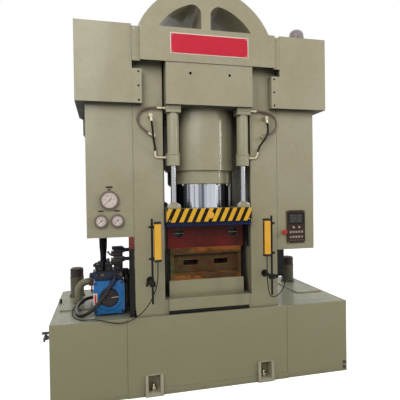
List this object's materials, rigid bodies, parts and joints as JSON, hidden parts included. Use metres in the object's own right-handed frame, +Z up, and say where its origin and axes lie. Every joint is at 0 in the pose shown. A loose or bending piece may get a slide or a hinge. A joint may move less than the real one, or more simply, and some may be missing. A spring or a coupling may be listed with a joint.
{
  "type": "hydraulic press",
  "caption": "Upright wire-wound frame press with a down-stroking ram, return cylinders, tanks over a wide oil base, side cabinets and a power pack.",
  "frame": {"origin": "on the floor, under the middle of the base's footprint", "axes": "+Z up, the front with gauges and panel faces -Y, +X to the right seen from the front"},
  "size_m": [2.76, 1.38, 3.544],
  "materials": {
    "machine_paint": "satin",
    "winding_paint": "satin",
    "dark_steel": "satin",
    "black_plastic": "satin",
    "rusty_iron": "matte",
    "red_paint": "satin",
    "blue_paint": "satin",
    "yellow_paint": "satin",
    "ground_steel": "polished",
    "grey_paint": "satin",
    "zinc_steel": "satin",
    "brown_paint": "satin",
    "clear_glass": "polished",
    "black_paint": "satin",
    "dark_plastic": "satin",
    "yellow_plastic": "gloss",
    "red_plastic": "gloss",
    "motor_paint": "satin",
    "black_rubber": "matte"
  },
  "bodies": {
    "press": {"base_centre": "machine_paint", "left_wing_tank": "machine_paint", "right_wing_tank": "machine_paint", "deck_covers": "machine_paint", "anchor_brackets": "machine_paint", "left_column": "machine_paint", "right_column": "machine_paint", "upper_yoke": "machine_paint", "lower_yoke": "machine_paint", "wire_winding": "winding_paint", "guide_rails": "dark_steel", "cable_ducts": "black_plastic", "bed_block": "machine_paint", "apron_plate": "machine_paint", "lower_bolster": "rusty_iron", "cylinder_housing": "machine_paint", "main_cylinder": "machine_paint", "gland_ring": "machine_paint", "return_cylinders": "machine_paint", "header_covers": "machine_paint", "right_top_tank": "machine_paint", "left_top_tank": "machine_paint", "machine_screws": "zinc_steel", "left_cabinet": "machine_paint", "right_cabinet": "machine_paint", "gauge_cases": "brown_paint", "gauge_glasses": "clear_glass", "operator_panel": "dark_plastic", "estop_collar": "yellow_plastic", "light_curtains": "yellow_paint", "curtain_stands": "black_paint", "pump_motor": "motor_paint", "oil_pump": "brown_paint", "suction_pipe": "machine_paint", "valve_manifold": "dark_steel", "tank_filters": "machine_paint", "tank_fittings": "dark_steel", "hose_fittings": "zinc_steel", "upper_right_hose": "black_rubber", "lower_right_hose": "black_rubber", "upper_left_hose": "black_rubber", "lower_left_hose": "black_rubber", "left_curtain_cable": "black_rubber", "right_curtain_cable": "black_rubber", "pump_hose": "black_rubber", "front_riser_hose": "black_rubber", "rear_riser_hose": "black_rubber"},
    "slide": {"ram": "ground_steel", "slide_beam": "machine_paint", "slide_plate": "blue_paint", "guard_plate": "yellow_paint", "upper_die": "red_paint", "return_rods": "ground_steel"},
    "main_needle": {"main_gauge_needle": "black_paint"},
    "left_needle": {"left_gauge_needle": "black_paint"},
    "right_needle": {"right_gauge_needle": "black_paint"},
    "stop_button": {"estop_button": "red_plastic"},
    "oil_cock": {"cock_handle": "dark_steel"},
    "breather": {"filler_cap": "grey_paint"},
    "side_door": {"cabinet_door": "machine_paint"}
  },
  "joints": [
    {"name": "slide_stroke", "type": "slide", "parent": "press", "child": "slide", "axis": [0, 0, 1], "range_m": [0, 0.19]},
    {"name": "side_door_hinge", "type": "hinge", "parent": "press", "child": "side_door", "pos_m": [1.053, 0.049, 1.835], "axis": [0, 0, 1], "range_deg": [0, 110]},
    {"name": "stop_push", "type": "slide", "parent": "press", "child": "stop_button", "axis": [0, 1, 0], "range_m": [0, 0.005], "stiffness_N_per_m": 1500, "springref_m": -0.002},
    {"name": "oil_cock_turn", "type": "hinge", "parent": "press", "child": "oil_cock", "pos_m": [-1.38, -0.54, 0.595], "axis": [0, 0, 1], "range_deg": [0, 90]},
    {"name": "breather_lift", "type": "slide", "parent": "press", "child": "breather", "axis": [0, 0, 1], "range_m": [0, 0.06]},
    {"name": "main_needle_turn", "type": "hinge", "parent": "press", "child": "main_needle", "pos_m": [-0.858, -0.578, 1.674], "axis": [0, 1, 0], "range_deg": [0, 270], "stiffness_Nm_per_rad": 0.001, "springref_deg": -11.46},
    {"name": "left_needle_turn", "type": "hinge", "parent": "press", "child": "left_needle", "pos_m": [-0.928, -0.578, 1.499], "axis": [0, 1, 0], "range_deg": [0, 270], "stiffness_Nm_per_rad": 0.001, "springref_deg": -11.46},
    {"name": "right_needle_turn", "type": "hinge", "parent": "press", "child": "right_needle", "pos_m": [-0.794, -0.578, 1.5], "axis": [0, 1, 0], "range_deg": [0, 270], "stiffness_Nm_per_rad": 0.001, "springref_deg": -11.46}
  ]
}
